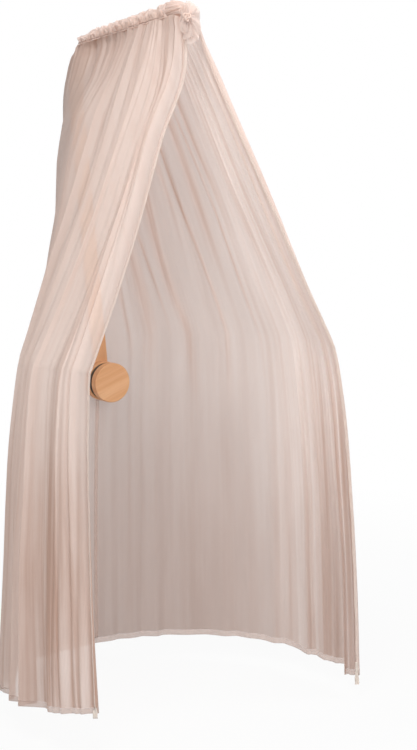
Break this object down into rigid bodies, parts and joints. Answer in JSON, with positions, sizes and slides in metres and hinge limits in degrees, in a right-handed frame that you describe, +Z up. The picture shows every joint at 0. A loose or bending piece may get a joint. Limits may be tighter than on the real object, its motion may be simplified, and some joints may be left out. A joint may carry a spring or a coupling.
{
  "type": "bed crown canopy",
  "caption": "Bentwood arm that clamps to an upright board and carries a gathered tulle canopy, open at the front and laid over a round rail.",
  "frame": {"origin": "on the face of the fixed jaw's pad, on the centre line, 30 mm above the bolt's axis", "axes": "+Z up along the clamped board, -Y out of the pad's face towards the canopy's opening, +X to the right of someone who looks along +Y"},
  "size_m": [0.9068, 0.7242, 1.6645],
  "materials": {
    "wood": "clear satin lacquer over beech",
    "tulle": "soft matt net",
    "tape": "matt woven tape",
    "pad": "matt",
    "nylon": "matt",
    "insert": "turned",
    "steel": "zinc plated"
  },
  "bodies": {
    "canopy": {"arm": "wood", "fixed_jaw": "wood", "jaw_pad": "pad", "bolt_washer": "steel", "clamp_bolt": "steel", "arm_screw_upper": "steel", "arm_screw_lower": "steel", "ruffled_casing": "tulle", "rosette_fan": "tulle", "rosette_crown": "tulle", "left_panel": "tulle", "right_panel": "tulle", "gathering_cord": "tape", "tie_knot": "tape", "back_seam_tape": "tape", "left_front_binding": "tape", "right_front_binding": "tape", "left_hem_band": "tape", "right_hem_band": "tape", "left_corner_tie": "tape", "right_corner_tie": "tape"},
    "knob_washers": {"knob_pad": "pad", "slip_washer": "nylon"},
    "knob": {"clamp_knob": "wood", "knob_insert": "insert"}
  },
  "joints": [
    {"name": "knob_travel", "type": "slide", "parent": "canopy", "child": "knob_washers", "axis": [0, -1, 0], "range_m": [-0.0101, 0.0041]},
    {"name": "knob_turn", "type": "hinge", "parent": "knob_washers", "child": "knob", "pos_m": [0, -0.0265, -0.03], "axis": [0, -1, 0], "range_deg": [-2880, 1152]}
  ],
  "couplings": [
    {"joint": "knob_travel", "follows": "knob_turn", "m_per_rad": 0.00019894}
  ]
}
